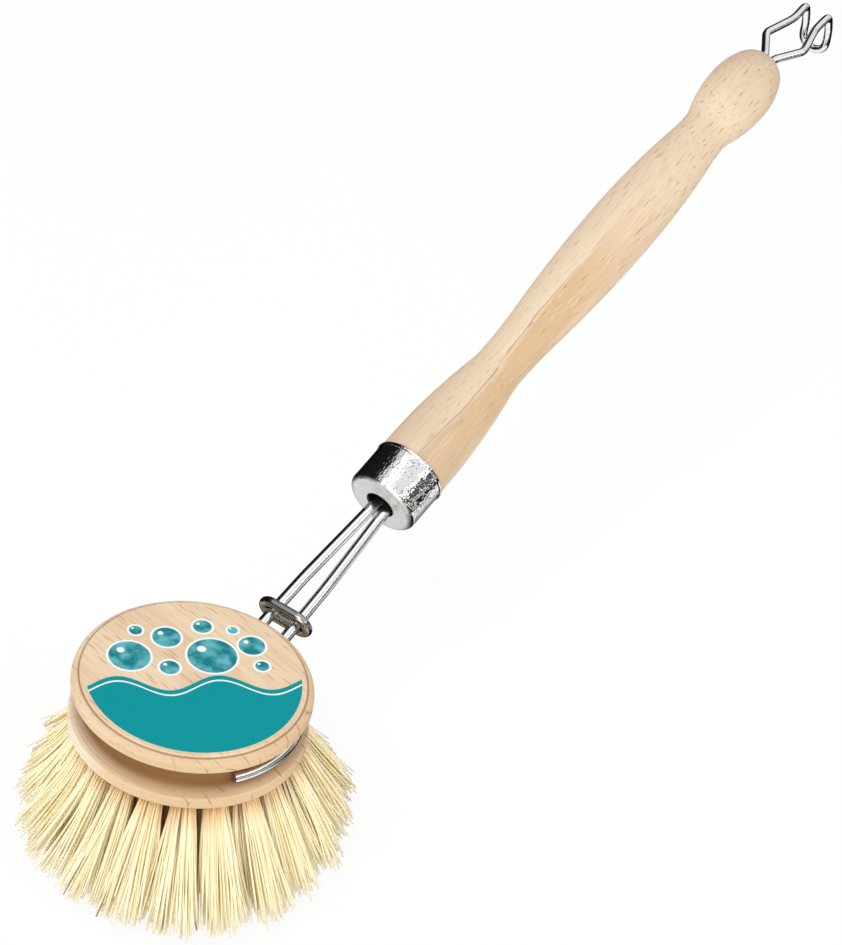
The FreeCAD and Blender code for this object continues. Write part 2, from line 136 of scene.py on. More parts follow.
UPRIGHT = Axes(ORIGIN, (0.0, 0.0, 1.0), (1.0, 0.0, 0.0))
HANDLE_AXES = Axes((63.483, 0.0, 7.127), (0.95106, 0.0, 0.30902), (-0.131, 0.905, 0.404))


@dataclass(frozen=True)
class Span:
    """A smooth ramp: the two values that it runs between, and what it gives at each and beyond."""

    low: float
    high: float
    start: float = 0.0
    end: float = 1.0


@dataclass(frozen=True)
class Noise:
    """A noise: the size of its cells in millimetres, how many finer layers it has, and their strength."""

    cell: Point
    detail: float = 3.0
    roughness: float = 0.5


class Nodes:
    """Builds the nodes of a material or a world."""

    def __init__(self, owner: Union[bpy.types.Material, bpy.types.World]) -> None:
        """Start with no nodes.

        Args:
            owner: Material or world that gets the nodes.
        """
        owner.use_nodes = True
        self.tree = owner.node_tree
        self.tree.nodes.clear()

    def node(self, kind: str, inputs: dict[Any, Any], **settings: Any) -> bpy.types.Node:
        """Add a node.

        Args:
            kind: Node type without its ShaderNode prefix.
            inputs: Socket names or numbers with a constant, or an output socket to link.
            settings: Properties of the node.

        Returns:
            The new node.
        """
        node = self.tree.nodes.new("ShaderNode" + kind)
        for name, value in settings.items():
            setattr(node, name, value)
        for name, value in inputs.items():
            self.feed(node.inputs[name], value)
        return node

    def feed(self, socket: Socket, value: Any) -> None:
        """Link an output to a socket, or set the socket's own value.

        Args:
            socket: Input that is fed.
            value: Output socket, number, colour or vector.
        """
        if isinstance(value, Socket):
            self.tree.links.new(value, socket)
        elif isinstance(value, tuple) and socket.type == "RGBA":
            socket.default_value = (*value, 1.0)
        else:
            socket.default_value = value

    def math(self, operation: str, *values: Any) -> Socket:
        """Return the result of a Math node on numbers or sockets."""
        return self.node("Math", dict(enumerate(values)), operation=operation).outputs[0]

    def seen_rays(self) -> Socket:
        """Find the rays that show a surface.

        Returns:
            A socket that is one for rays from the camera, from mirrors and through glass.
        """
        path = self.node("LightPath", {}).outputs
        mirrored = self.math("MAXIMUM", path["Is Camera Ray"], path["Is Glossy Ray"])
        return self.math("MAXIMUM", mirrored, path["Is Transmission Ray"])


class Shader(Nodes):
    """Builds one material around a Principled shader."""

    def __init__(self, name: str) -> None:
        """Start the material.

        Args:
            name: Name of the material.
        """
        self.material = bpy.data.materials.new(name)
        super().__init__(self.material)
        self.surface = self.node("BsdfPrincipled", {})
        self.node("OutputMaterial", {0: self.surface.outputs[0]})

    def times(self, first: Any, *others: Any) -> Socket:
        """Multiply numbers or sockets.

        Args:
            first: First factor.
            others: The other factors, in order.

        Returns:
            The product.
        """
        for value in others:
            first = self.math("MULTIPLY", first, value)
        return first

    def ramp(self, value: Any, span: Span) -> Socket:
        """Return a value eased from the span's low and high to its start and end, and held there."""
        inputs = {0: value, 1: span.low, 2: span.high, 3: span.start, 4: span.end}
        return self.node("MapRange", inputs, interpolation_type="SMOOTHSTEP").outputs[0]

    def mix(self, factor: Any, first: Any, second: Any) -> Socket:
        """Return a colour mixed from two colours by a factor."""
        return self.node("Mix", {0: factor, 6: first, 7: second}, data_type="RGBA").outputs[2]

    def steps(self, value: Any, places: Sequence[float], tones: Sequence[Colour]) -> Socket:
        """Read a colour from a ramp of tones.

        Args:
            value: Where to read, from nought to one.
            places: Where on the ramp each tone stands.
            tones: The tones, in order.

        Returns:
            The colour.
        """
        node = self.node("ValToRGB", {0: value})
        points = node.color_ramp.elements
        while len(points) < len(places):
            points.new(1.0)
        for point, place, tone in zip(points, places, tones):
            point.position = place
            point.color = (*tone, 1.0)
        return node.outputs[0]

    def coordinates(self, axes: Axes, cell: Point) -> Socket:
        """Find the place of a surface point in a frame.

        Args:
            axes: The frame.
            cell: Size in millimetres that counts as one along each axis.

        Returns:
            The place, from Object coordinates.
        """
        inputs = {
            "Vector": self.node("TexCoord", {}).outputs["Object"],
            "Location": tuple(value * MM for value in axes.origin),
            "Rotation": axes.euler(),
            "Scale": tuple(value * MM for value in cell),
        }
        return self.node("Mapping", inputs, vector_type="TEXTURE").outputs[0]

    def parts(self, vector: Socket) -> tuple[Socket, Socket, Socket]:
        """Return a vector's three numbers."""
        return tuple(self.node("SeparateXYZ", {0: vector}).outputs)

    def millimetres(self, axes: Axes) -> tuple[Socket, Socket, Socket]:
        """Return a surface point's X, Y and Z in a frame, in millimetres."""
        return self.parts(self.coordinates(axes, ONE_MM))

    def flat(self, right: Any, up: Any) -> Socket:
        """Return a vector of two numbers, with nought as its third."""
        return self.node("CombineXYZ", {0: right, 1: up}).outputs[0]

    def distance(self, place: Any, centre: Point) -> Socket:
        """Return the distance from a place to a centre."""
        return self.node("VectorMath", {0: place, 1: centre}, operation="DISTANCE").outputs["Value"]

    def radius(self, right: Any, up: Any) -> Socket:
        """Return the distance of a point from the Z axis, from its X and Y."""
        return self.distance(self.flat(right, up), ORIGIN)

    def noise_at(self, vector: Any, noise: Noise) -> Socket:
        """Return a noise factor at a place that is counted in cells."""
        inputs = {"Vector": vector, "Scale": 1.0, "Detail": noise.detail, "Roughness": noise.roughness}
        return self.node("TexNoise", inputs).outputs[0]

    def noise(self, axes: Axes, noise: Noise) -> Socket:
        """Return a noise factor with its cells laid out in a frame."""
        return self.noise_at(self.coordinates(axes, noise.cell), noise)

    def cells(self, axes: Axes, cell: Point, channel: int) -> tuple[Socket, Socket]:
        """Divide a frame into uneven cells.

        Args:
            axes: The frame.
            cell: Usual size of a cell in millimetres.
            channel: Which of the three numbers that a cell has is returned.

        Returns:
            The distance from the cell's core, and the cell's own number from nought to one.
        """
        node = self.node("TexVoronoi", {"Vector": self.coordinates(axes, cell), "Scale": 1.0})
        own = self.node("SeparateColor", {0: node.outputs["Color"]}).outputs[channel]
        return node.outputs["Distance"], own

    def bump(self, height: Any, depth: float, below: Optional[Socket] = None) -> Socket:
        """Bend the surface's normal by a height.

        Args:
            height: Height from nought to one.
            depth: Millimetres that a height of one stands for.
            below: Normal that is already bent, if there is one.

        Returns:
            The bent normal.
        """
        inputs = {"Height": height, "Strength": 1.0, "Distance": depth * MM}
        if below is not None:
            inputs["Normal"] = below
        return self.node("Bump", inputs).outputs[0]

    def finish(self, **inputs: Any) -> bpy.types.Material:
        """Feed the Principled shader.

        Args:
            inputs: Socket names, in small letters with underscores for spaces, and what feeds them.

        Returns:
            The material.
        """
        for name, value in inputs.items():
            title = name.replace("_", " ").title().replace("Ior", "IOR")
            self.feed(self.surface.inputs[title], value)
        return self.material


@dataclass(frozen=True)
class Bubble:
    """One printed circle: its centre and radius in the print's own frame."""

    right: float
    up: float
    radius: float


@dataclass(frozen=True)
class WavePrint:
    """Print on the head's top: a wavy teal field with white lines, and bubbles above it."""

    axes: Axes = Axes(ORIGIN, (0.0, 0.0, 1.0), (0.696, -0.718, 0.0))
    reach: float = 22.3
    top_level: float = -0.05
    level: float = -1.5
    swing: float = 2.2
    wave: float = 21.0
    edge: float = 0.04
    line_gap: float = 1.5
    line_half: float = 0.22
    lined_gaps: float = 2.5
    outline_half: float = 0.26
    outline_edge: float = 0.06
    shine_left: float = 0.36
    shine_up: float = 0.40
    shine_core: float = 0.13
    shine_edge: float = 0.22
    wash: Noise = Noise((3.2, 3.2, 40.0))
    wash_tone: Span = Span(0.36, 0.66)
    teal: Colour = (0.0, 0.270, 0.295)
    pale_teal: Colour = (0.12, 0.43, 0.48)
    deep_teal: Colour = (0.005, 0.19, 0.215)
    white: Colour = (0.84, 0.86, 0.85)
    bubbles: tuple[Bubble, ...] = (
        Bubble(-12.5, 6.8, 4.6),
        Bubble(-4.2, 12.4, 3.2),
        Bubble(4.6, 6.6, 5.4),
        Bubble(-4.6, 3.2, 2.3),
        Bubble(13.2, 9.6, 3.0),
        Bubble(3.6, 15.6, 2.2),
        Bubble(14.6, 3.4, 1.7),
        Bubble(-10.4, 14.6, 1.6),
        Bubble(9.8, 14.4, 1.3),
    )

    def bubble(self, shader: Shader, flat: Socket, bubble: Bubble) -> tuple[Socket, Socket, Socket]:
        """Draw one bubble by distances from its centre and from its spot of shine.

        Args:
            shader: Material that gets the nodes.
            flat: Place on the print.
            bubble: The bubble.

        Returns:
            Shares from nought to one of the bubble's inside, of its outline and of its shine.
        """
        size = bubble.radius
        reach = shader.distance(flat, (bubble.right, bubble.up, 0.0))
        inside = shader.ramp(reach, Span(size - self.edge, size + self.edge, 1.0, 0.0))
        off_line = shader.math("ABSOLUTE", shader.math("SUBTRACT", reach, size))
        thin, thick = self.outline_half - self.outline_edge, self.outline_half + self.outline_edge
        outline = shader.ramp(off_line, Span(thin, thick, 1.0, 0.0))
        shine_at = (bubble.right - size * self.shine_left, bubble.up + size * self.shine_up, 0.0)
        shine_span = Span(size * self.shine_core, size * self.shine_edge, 1.0, 0.0)
        return inside, outline, shader.ramp(shader.distance(flat, shine_at), shine_span)

    def lay(self, shader: Shader, wood: Socket) -> tuple[Socket, Socket]:
        """Lay the print over a wood colour.

        The field lies below a sine line, with white lines at even depths near its edge. Bubbles are washed
        with two tones.

        Args:
            shader: Material that gets the nodes.
            wood: Colour of the bare wood.

        Returns:
            The colour with the print on it, and the share of ink from nought to one.
        """
        right, up, height = shader.millimetres(self.axes)
        flat = shader.flat(right, up)
        phase = shader.math("MULTIPLY", right, TURN / self.wave)
        crest = shader.math("MULTIPLY_ADD", shader.math("SINE", phase), self.swing, self.level)
        depth = shader.math("SUBTRACT", crest, up)
        ink = shader.ramp(depth, Span(-self.edge, self.edge))
        washed = shader.ramp(shader.noise(self.axes, self.wash), self.wash_tone)
        tones = shader.mix(washed, self.deep_teal, self.pale_teal)
        colour = shader.mix(ink, wood, self.teal)
        lines = shader.math("PINGPONG", depth, self.line_gap)
        near = shader.math("LESS_THAN", depth, self.lined_gaps * self.line_gap)
        drawn = shader.math("GREATER_THAN", lines, self.line_gap - self.line_half)
        white = shader.times(near, drawn, ink)
        for bubble in self.bubbles:
            inside, outline, shine = self.bubble(shader, flat, bubble)
            colour = shader.mix(inside, colour, tones)
            ink = shader.math("MAXIMUM", ink, shader.math("MAXIMUM", inside, outline))
            white = shader.times(white, shader.math("SUBTRACT", 1.0, inside))
            white = shader.math("MAXIMUM", white, shader.math("MAXIMUM", outline, shine))
        colour = shader.mix(white, colour, self.white)
        within = shader.times(shader.math("LESS_THAN", shader.distance(flat, ORIGIN), self.reach),
                              shader.math("GREATER_THAN", height, self.top_level))
        ink = shader.times(ink, within)
        return shader.mix(ink, wood, colour), ink


@dataclass(frozen=True)
class Beech:
    """Pale beech: soft growth bands across, fibre streaks along, and short red-brown ray flecks."""

    name: str
    axes: Axes
    band: float
    band_shift: float
    pale: Colour = (0.75, 0.605, 0.45)
    middle: Colour = (0.735, 0.58, 0.415)
    tan: Colour = (0.61, 0.42, 0.245)
    seam: Colour = (0.27, 0.14, 0.07)
    worn: Colour = (0.55, 0.42, 0.30)
    fleck: Colour = (0.38, 0.16, 0.05)
    # painted shade: near-black colour for the wood inside the front bore
    bore_shade: Colour = (0.02, 0.013, 0.008)
    gloss: float = 0.12
    roughness: float = 0.50
    rough_swing: float = -0.12
    relief: float = 0.03
    cloud: Noise = Noise((7.0, 7.0, 60.0), 2.0)
    cloud_bend: float = 0.6
    band_places: tuple[float, ...] = (0.0, 0.06, 0.38, 0.52, 0.95, 1.0)
    band_share: Span = Span(0.0, 1.0, 0.10, 1.0)
    front: Span = Span(106.0, 53.0)
    mottle: Noise = Noise((3.2, 3.2, 22.0))
    mottle_tone: Span = Span(0.36, 0.66)
    seam_line: Span = Span(0.024, 0.0, 0.0, 0.85)
    seam_breaks: Noise = Noise((4.0, 4.0, 7.0), 1.0)
    seam_shown: Span = Span(0.34, 0.46)
    worn_front: Span = Span(42.0, 10.5, 0.0, 0.45)
    worn_far: Span = Span(122.0, 134.0, 0.0, 0.30)
    streak: Noise = Noise((0.30, 0.30, 12.0), 4.0, 0.6)
    streak_tan: Span = Span(0.50, 0.70, 0.0, 0.75)
    streak_pale: Span = Span(0.48, 0.30, 0.0, 0.55)
    streak_height: float = 0.5
    fleck_cell: Point = (0.48, 0.48, 8.0)
    fleck_core: Span = Span(0.12, 0.25, 1.0, 0.0)
    fleck_least: Span = Span(30.0, 100.0, 0.5, 0.0)
    fleck_depth: Span = Span(0.05, 0.60, 0.0, 0.90)
    # where the painted bore shade lies: radius from the axis and length from the front end
    bore_wall: Span = Span(3.6, 3.45)
    bore_end: float = 40.0

    def grain(self, shader: Shader) -> tuple[Socket, Socket]:
        """Draw the bare wood.

        Growth bands are the fraction of the way across a band, bent by slow noise, and fade along the wood.
        A broken seam runs along a band's edge near the front end. Both ends are a little worn. Flecks are
        the cores of cells drawn out along the grain, and only some cells have one. Wood inside the front
        bore gets painted shade, near black.

        Args:
            shader: Material that gets the nodes.

        Returns:
            The wood's colour, and the height of its surface.
        """
        right, up, along = shader.millimetres(self.axes)
        place = shader.math("DIVIDE", right, self.band)
        bent = shader.math("MULTIPLY_ADD", shader.noise(self.axes, self.cloud), self.cloud_bend, place)
        across = shader.math("FRACT", shader.math("ADD", bent, self.band_shift))
        tones = (self.middle, self.pale, self.middle, self.tan, self.tan, self.middle)
        banded = shader.steps(across, self.band_places, tones)
        front = shader.ramp(along, self.front)
        mottled = shader.ramp(shader.noise(self.axes, self.mottle), self.mottle_tone)
        plain = shader.mix(mottled, self.pale, self.middle)
        colour = shader.mix(shader.ramp(front, self.band_share), plain, banded)
        worn = shader.math("MAXIMUM", shader.ramp(along, self.worn_front), shader.ramp(along, self.worn_far))
        colour = shader.mix(worn, colour, self.worn)
        unbroken = shader.ramp(shader.noise(self.axes, self.seam_breaks), self.seam_shown)
        seam = shader.times(shader.ramp(across, self.seam_line), front, unbroken)
        colour = shader.mix(seam, colour, self.seam)
        streak = shader.noise(self.axes, self.streak)
        colour = shader.mix(shader.ramp(streak, self.streak_tan), colour, self.tan)
        colour = shader.mix(shader.ramp(streak, self.streak_pale), colour, self.pale)
        core, chance = shader.cells(self.axes, self.fleck_cell, 0)
        luck = shader.math("SUBTRACT", chance, shader.ramp(along, self.fleck_least))
        flecks = shader.times(shader.ramp(core, self.fleck_core), shader.ramp(luck, self.fleck_depth))
        colour = shader.mix(flecks, colour, self.fleck)
        # painted shade: the wood inside the front bore goes near black
        bore_shadow = shader.times(shader.ramp(shader.radius(right, up), self.bore_wall),
                              shader.math("LESS_THAN", along, self.bore_end))
        colour = shader.mix(bore_shadow, colour, self.bore_shade)
        return colour, shader.math("SUBTRACT", shader.times(streak, self.streak_height), flecks)

    def material(self) -> bpy.types.Material:
        """Build the bare wood's material, smoother where its surface is higher.

        Returns:
            The material.
        """
        shader = Shader(self.name)
        colour, height = self.grain(shader)
        rough = shader.math("MULTIPLY_ADD", height, self.rough_swing, self.roughness)
        normal = shader.bump(height, self.relief)
        return shader.finish(base_color=colour, roughness=rough, normal=normal,
                             specular_ior_level=self.gloss)


@dataclass(frozen=True)
class HeadBeech(Beech):
    """Beech of the turned head: printed on top, with fine cracks and lathe lines round its side."""

    pale: Colour = (0.78, 0.62, 0.445)
    middle: Colour = (0.75, 0.565, 0.37)
    warm: Colour = (0.63, 0.435, 0.26)
    # painted light: paler colour laid on the foot on the side where light falls
    light: Colour = (0.84, 0.73, 0.57)
    # colour of the real cracks, also used for painted shade in the quirk round the top
    crack_and_quirk_shade: Colour = (0.26, 0.13, 0.06)
    # groove colour: dust together with painted shade, deepest under the flange lip
    groove_dust_and_shade: Colour = (0.25, 0.115, 0.04)
    front: Span = Span(-200.0, -100.0)
    band_share: Span = Span(0.0, 1.0, 0.10, 0.35)
    seam_line: Span = Span(0.024, 0.0, 0.0, 0.0)
    worn_front: Span = Span(42.0, 10.5, 0.0, 0.0)
    fleck_least: Span = Span(30.0, 100.0, 0.2, 0.0)
    bore_wall: Span = Span(-1.0, -1.15)
    side: Span = Span(-0.3, -0.8)
    warm_side: Span = Span(10.0, -16.0, 0.0, 0.75)
    # where the painted light on the foot lies: round the head, then by height
    painted_light_side: Span = Span(-4.0, 7.0, 0.0, 0.70)
    painted_light_foot: Span = Span(-6.7, -8.1)
    crack_gap: float = 3.5
    crack_line: Span = Span(0.13, 0.0)
    crack_sway: Noise = Noise((9.0, 9.0, 20.0), 1.0)
    crack_bend: float = 2.2
    crack_patch: Noise = Noise((4.0, 4.0, 4.0), 1.0)
    crack_shown: Span = Span(0.38, 0.52, 0.0, 0.80)
    end_grain: Span = Span(0.50, 0.80)
    lathe: Noise = Noise((40.0, 40.0, 0.22), 2.0)
    lathe_tan: Span = Span(0.50, 0.68, 0.0, 0.55)
    lathe_relief: float = 0.05
    # where the groove's dust and painted shade lie: radius, top and foot heights, and strength
    groove_wall: Span = Span(24.9, 23.7)
    groove_top: Span = Span(-3.3, -3.8)
    groove_foot: Span = Span(-10.9, -9.1)
    groove_share: float = 0.94
    # where the painted shade of the quirk lies
    quirk_radius: float = 23.55
    quirk_wall: Span = Span(0.34, 0.08)
    quirk_foot: Span = Span(-1.3, -0.9)
    quirk_depth: Span = Span(-0.12, -0.42, 0.0, 0.65)
    ink_swing: float = -0.10
    design: WavePrint = WavePrint()

    def cracks(self, shader: Shader, ring_place: Socket, along: Socket, radius: Socket) -> Socket:
        """Draw cracks that follow the growth rings: thin lines at even gaps, bent by slow noise, in patches.

        Args:
            shader: Material that gets the nodes.
            ring_place: Place across the grain, counted in gaps between cracks.
            along: Place along the grain. Its share of the radius tells where the end grain shows.
            radius: Distance from the head's axis.

        Returns:
            The share of crack from nought to one, on the top too.
        """
        sway = shader.noise(self.axes, self.crack_sway)
        ring = shader.math("FRACT", shader.math("MULTIPLY_ADD", sway, self.crack_bend, ring_place))
        ends = shader.math("DIVIDE", shader.math("ABSOLUTE", along), radius)
        patch = shader.ramp(shader.noise(UPRIGHT, self.crack_patch), self.crack_shown)
        return shader.times(shader.ramp(ring, self.crack_line), patch, shader.ramp(ends, self.end_grain))

    def shade_hollows(self, shader: Shader, colour: Socket, level: Socket, radius: Socket) -> Socket:
        """Darken the fork's groove with dust and painted shade, and the fine quirk round the top with
        painted shade, by radius and height.

        Args:
            shader: Material that gets the nodes.
            colour: Colour of the wood.
            level: Height, nought at the top.
            radius: Distance from the head's axis.

        Returns:
            The darkened colour.
        """
        # dust and painted shade in the fork's groove
        dust_and_shade_mask = shader.times(shader.ramp(radius, self.groove_wall), shader.ramp(level, self.groove_top),
                              shader.ramp(level, self.groove_foot), self.groove_share)
        colour = shader.mix(dust_and_shade_mask, colour, self.groove_dust_and_shade)
        # painted shade in the fine quirk round the top, in the crack colour
        off_quirk = shader.math("ABSOLUTE", shader.math("SUBTRACT", radius, self.quirk_radius))
        quirk_shade = shader.times(shader.ramp(off_quirk, self.quirk_wall), shader.ramp(level, self.quirk_foot),
                             shader.ramp(level, self.quirk_depth))
        return shader.mix(quirk_shade, colour, self.crack_and_quirk_shade)

    def material(self) -> bpy.types.Material:
        """Build the wood with its print.

        Lathe lines are a noise squeezed along the head's axis. The wood is warmer to one side, and its foot
        gets painted light on the other.

        Returns:
            The material.
        """
        shader = Shader(self.name)
        colour, height = self.grain(shader)
        right, up, level = shader.millimetres(UPRIGHT)
        radius = shader.radius(right, up)
        side = shader.ramp(level, self.side)
        ring_place, _, along = shader.parts(shader.coordinates(self.axes, (self.crack_gap, 1.0, 1.0)))
        colour = shader.mix(shader.times(shader.ramp(along, self.warm_side), side), colour, self.warm)
        # painted light on the foot to one side
        lit = shader.times(shader.ramp(along, self.painted_light_side), shader.ramp(level, self.painted_light_foot))
        colour = shader.mix(lit, colour, self.light)
        cracks = shader.times(self.cracks(shader, ring_place, along, radius), side)
        colour = shader.mix(cracks, colour, self.crack_and_quirk_shade)
        lathe = shader.noise(UPRIGHT, self.lathe)
        colour = shader.mix(shader.times(shader.ramp(lathe, self.lathe_tan), side), colour, self.tan)
        # painted shade in the groove (with dust) and in the quirk
        colour = self.shade_hollows(shader, colour, level, radius)
        colour, ink = self.design.lay(shader, colour)
        height = shader.math("SUBTRACT", height, cracks)
        bare_rough = shader.math("MULTIPLY_ADD", height, self.rough_swing, self.roughness)
        rough = shader.math("MULTIPLY_ADD", ink, self.ink_swing, bare_rough)
        turned = shader.bump(shader.times(lathe, side), self.lathe_relief)
        normal = shader.bump(height, self.relief, turned)
        return shader.finish(base_color=colour, roughness=rough, normal=normal,
                             specular_ior_level=self.gloss)


@dataclass(frozen=True)
class DrawnSteel:
    """Bright drawn wire: fine lengthwise die lines and slightly dull patches."""

    name: str
    axes: Axes
    colour: Colour = (0.96, 0.96, 0.96)
    dull: Colour = (0.84, 0.84, 0.83)
    edge: Colour = (0.06, 0.06, 0.06)
    roughness: float = 0.15
    dull_rough: float = 0.06
    patch: Noise = Noise((1.2, 1.2, 9.0), 3.0, 0.6)
    patch_share: Span = Span(0.45, 0.72)
    die_line: Noise = Noise((0.40, 0.40, 60.0), 2.0)
    line_depth: float = 0.006

    def die_lines(self, shader: Shader) -> Socket:
        """Return the height of the die lines, a noise drawn out along the wire."""
        return shader.noise(self.axes, self.die_line)

    def material(self) -> bpy.types.Material:
        """Build the metal, dulled in patches and lined by noises drawn out along the wire.

        Returns:
            The material.
        """
        shader = Shader(self.name)
        share = shader.ramp(shader.noise(self.axes, self.patch), self.patch_share)
        colour = shader.mix(share, self.colour, self.dull)
        rough = shader.math("MULTIPLY_ADD", share, self.dull_rough, self.roughness)
        normal = shader.bump(self.die_lines(shader), self.line_depth)
        return shader.finish(base_color=colour, roughness=rough, normal=normal, metallic=1.0,
                             specular_tint=self.edge)


@dataclass(frozen=True)
class ForkSteel(DrawnSteel):
    """Drawn wire of the fork, whose die lines turn round the head with the wire."""

    clamp_end: float = 24.0

    def die_lines(self, shader: Shader) -> Socket:
        """Draw the die lines.

        Along the neck they run straight. Nearer the head's axis than the clamp's end, the noise is read by
        radius and height alone, so that its lines run round the head.

        Args:
            shader: Material that gets the nodes.

        Returns:
            The lines' height.
        """
        straight = super().die_lines(shader)
        right, up, level = shader.millimetres(UPRIGHT)
        cells = [shader.math("DIVIDE", value, self.die_line.cell[0])
                 for value in (shader.radius(right, up), level)]
        rounded = shader.noise_at(shader.flat(*cells), self.die_line)
        near = shader.math("LESS_THAN", right, self.clamp_end)
        return shader.node("Mix", {0: near, 2: straight, 3: rounded}, data_type="FLOAT").outputs[0]


@dataclass(frozen=True)
class Galvanised:
    """Galvanised cap: a speckled bright side and a paler, duller front plate."""

    name: str
    axes: Axes
    bright: Colour = (0.98, 0.98, 0.98)
    dark: Colour = (0.88, 0.88, 0.88)
    edge: Colour = (0.12, 0.12, 0.12)
    crystal: Point = (0.8, 0.8, 0.8)
    crystal_tone: Span = Span(0.0, 1.0, 0.0, 0.5)
    crystal_rough: float = 0.04
    patch: Noise = Noise((2.6, 2.6, 7.0))
    grain: Noise = Noise((0.62, 0.62, 0.62), 1.0, 0.65)
    grain_patch: Span = Span(0.34, 0.60, 0.25, 1.0)
    grain_depth: float = 0.13
    # dark specks: spangle that also stands for painted dark reflections
    spangle_and_dark_reflection: Colour = (0.16, 0.16, 0.16)
    speck_cell: Point = (0.42, 0.42, 0.42)
    speck_core: Span = Span(0.50, 0.30)
    speck_patch: Span = Span(0.42, 0.62)
    speck_swing: float = 0.55
    speck_share: float = 0.62
    speck_strength: float = 0.75
    roughness: float = 0.08
    plate: Span = Span(1.1, 0.2)
    plate_share: float = 0.8
    plate_roughness: float = 0.42

    def material(self) -> bpy.types.Material:
        """Build the metal.

        Crystal cells each have their own tone. Dark specks, thick in some patches, are spangle and partly a
        painted reflection of dark surroundings; with a fine grain they break up what the side mirrors. The
        front plate, by its place along the handle's axis, is plain and rougher.

        Returns:
            The material.
        """
        shader = Shader(self.name)
        _, tone = shader.cells(self.axes, self.crystal, 1)
        core, luck = shader.cells(self.axes, self.speck_cell, 0)
        patch = shader.noise(self.axes, self.patch)
        plate = shader.ramp(shader.millimetres(self.axes)[2], self.plate)
        colour = shader.mix(shader.ramp(tone, self.crystal_tone), self.bright, self.dark)
        thick = shader.math("MULTIPLY_ADD", shader.ramp(patch, self.speck_patch), self.speck_swing,
                            self.speck_share - self.speck_swing)
        # dark specks, partly painted reflection, thick in some patches
        drawn = shader.times(shader.math("LESS_THAN", luck, thick), shader.ramp(core, self.speck_core),
                             self.speck_strength)
        colour = shader.mix(drawn, colour, self.spangle_and_dark_reflection)
        colour = shader.mix(shader.times(plate, self.plate_share), colour, self.bright)
        side_rough = shader.math("MULTIPLY_ADD", tone, self.crystal_rough, self.roughness)
        rough = shader.math("MULTIPLY_ADD", plate, self.plate_roughness - self.roughness, side_rough)
        height = shader.times(shader.noise(self.axes, self.grain), shader.ramp(patch, self.grain_patch))
        normal = shader.bump(height, self.grain_depth)
        return shader.finish(base_color=colour, roughness=rough, normal=normal, metallic=1.0,
                             specular_tint=self.edge)


@dataclass(frozen=True)
class PlantFibre:
    """Pale plant fibre: brown at the roots, partly its own tone and partly painted shade under the head,
    cream along its length, each fibre with its own tone.
    """

    name: str = "plant fibre"
    # root tone: partly the fibre's own colour, partly painted shade under the head
    root: Colour = (0.70, 0.37, 0.10)
    body: Colour = (0.98, 0.91, 0.65)
    tip: Colour = (0.98, 0.93, 0.71)
    places: tuple[float, ...] = (0.09, 0.34, 0.62, 1.0)
    # painted shade: browner root and body tones for tufts that stand behind others
    shaded_root: Colour = (0.70, 0.33, 0.10)
    deep_body: Colour = (0.82, 0.55, 0.23)
    shaded_places: tuple[float, ...] = (0.10, 0.35, 0.8, 1.0)
    straw: Colour = (0.90, 0.68, 0.31)
    straw_share: Span = Span(0.66, 0.97, 0.0, 0.50)
    burnt: Colour = (0.10, 0.05, 0.02)
    burnt_share: Span = Span(0.980, 0.985, 0.0, 0.85)
    sheen: float = 0.7
    sheen_colour: Colour = (1.0, 0.85, 0.48)
    roughness: float = 0.42

    def material(self) -> bpy.types.Material:
        """Build the fibre from its UV map.

        V runs to the fibre's tip. U's fraction is a number of the fibre's own, and its whole part is one for
        tufts that stand behind others, which get painted shade in browner tones.

        Returns:
            The material.
        """
        shader = Shader(self.name)
        number, along, _ = shader.parts(shader.node("TexCoord", {}).outputs["UV"])
        own = shader.math("FRACT", number)
        shown = shader.steps(along, self.places, (self.root, self.body, self.body, self.tip))
        # painted shade for tufts behind others
        shaded_tones = (self.shaded_root, self.deep_body, self.deep_body, self.body)
        shaded = shader.steps(along, self.shaded_places, shaded_tones)
        colour = shader.mix(shader.math("GREATER_THAN", number, 1.0), shown, shaded)
        colour = shader.mix(shader.ramp(own, self.straw_share), colour, self.straw)
        colour = shader.mix(shader.ramp(own, self.burnt_share), colour, self.burnt)
        return shader.finish(base_color=colour, roughness=self.roughness, sheen_weight=self.sheen,
                             sheen_tint=self.sheen_colour)


def mesh_piece(name: str, points: np.ndarray, faces: Sequence[Sequence[int]],
               uv: Optional[np.ndarray] = None) -> bpy.types.Object:
    """Make a smooth mesh object at the origin.

    Args:
        name: Name of the object and its mesh.
        points: Vertices in millimetres, one row each.
        faces: Vertex numbers of each face, one row each.
        uv: Texture place of each vertex, if the finish reads one.

    Returns:
        The new object, linked to the scene.
    """
    mesh = bpy.data.meshes.new(name)
    mesh.from_pydata(points * MM, [], faces)
    mesh.polygons.foreach_set("use_smooth", np.ones(len(mesh.polygons), bool))
    if uv is not None:
        layer = mesh.uv_layers.new(name="UVMap")
        corners = np.empty(len(mesh.loops), np.int32)
        mesh.loops.foreach_get("vertex_index", corners)
        layer.data.foreach_set("uv", uv[corners].astype(np.float32).ravel())
    mesh.update()
    piece = bpy.data.objects.new(name, mesh)
    bpy.context.scene.collection.objects.link(piece)
    return piece


def dress_solids(material: bpy.types.Material, *solids: Solid) -> None:
    """Give solids of the part a material.

    Args:
        material: The material.
        solids: The solids that get it.
    """
    for solid in solids:
        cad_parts[solid.value].material_slots[0].material = material
        LOG.info("%s: %s", solid.value, material.name)


@dataclass(frozen=True)
class WoodenHead:
    """Turned and printed head."""

    axes: Axes = Axes(ORIGIN, (0.165, 0.986, 0.0), (0.85, 0.0, 0.527))
    band: float = 21.0
    band_shift: float = 0.30

    def dress(self) -> None:
        """Give the head its printed wood."""
        wood = HeadBeech("head beech", self.axes, self.band, self.band_shift)
        dress_solids(wood.material(), Solid.HEAD)


